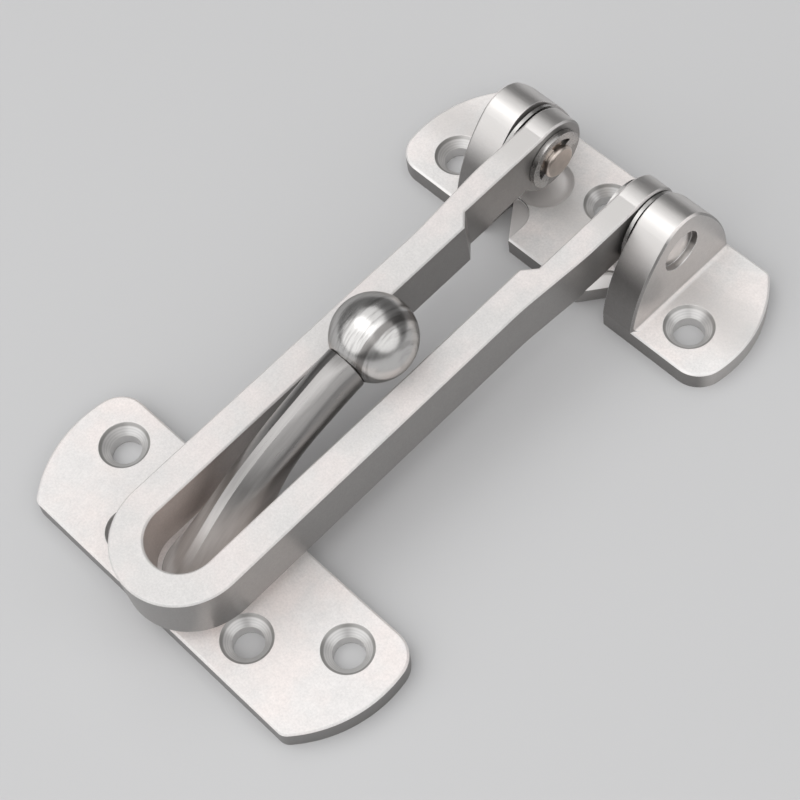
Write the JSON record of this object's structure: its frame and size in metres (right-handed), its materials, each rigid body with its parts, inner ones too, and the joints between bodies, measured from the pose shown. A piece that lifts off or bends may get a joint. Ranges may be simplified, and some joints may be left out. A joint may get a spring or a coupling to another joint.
{
  "type": "swing bar door guard",
  "caption": "Swing bar door guard: a hinged U-shaped bar is captured by a ball-ended horn on a separate plate, so that a door opens only a little way.",
  "frame": {"origin": "middle of the hinge plate's back face, straight below the pin axis", "axes": "+X along both plates and the hinge pins, +Y from the ball plate towards the hinge plate, +Z from the plates' back faces up to the ball"},
  "size_m": [0.0704, 0.1118, 0.0308],
  "materials": {
    "satin_stainless": "cast stainless steel, blasted and satin brushed, with thin brightened edges",
    "polished_stainless": "turned and hand polished, with soft uneven polishing streaks",
    "pin_steel": "plain turned steel, slightly warm in tone",
    "clip_steel": "bright stamped spring steel"
  },
  "bodies": {
    "hinge": {"hinge_plate": "satin_stainless", "left_pin": "pin_steel", "right_pin": "pin_steel", "left_spring_washer": "clip_steel", "right_spring_washer": "clip_steel", "left_retaining_clip": "clip_steel", "right_retaining_clip": "clip_steel"},
    "bar": {"swing_bar": "satin_stainless"},
    "keeper": {"ball_plate": "satin_stainless", "ball": "polished_stainless"}
  },
  "joints": [
    {"name": "bar_swing", "type": "hinge", "parent": "hinge", "child": "bar", "pos_m": [0, 0, 0.0143], "axis": [-1, 0, 0], "range_deg": [0, 170]},
    {"name": "ball_plate_slide", "type": "slide", "parent": "bar", "child": "keeper", "axis": [0, 1, 0], "range_m": [0, 0.026]}
  ]
}
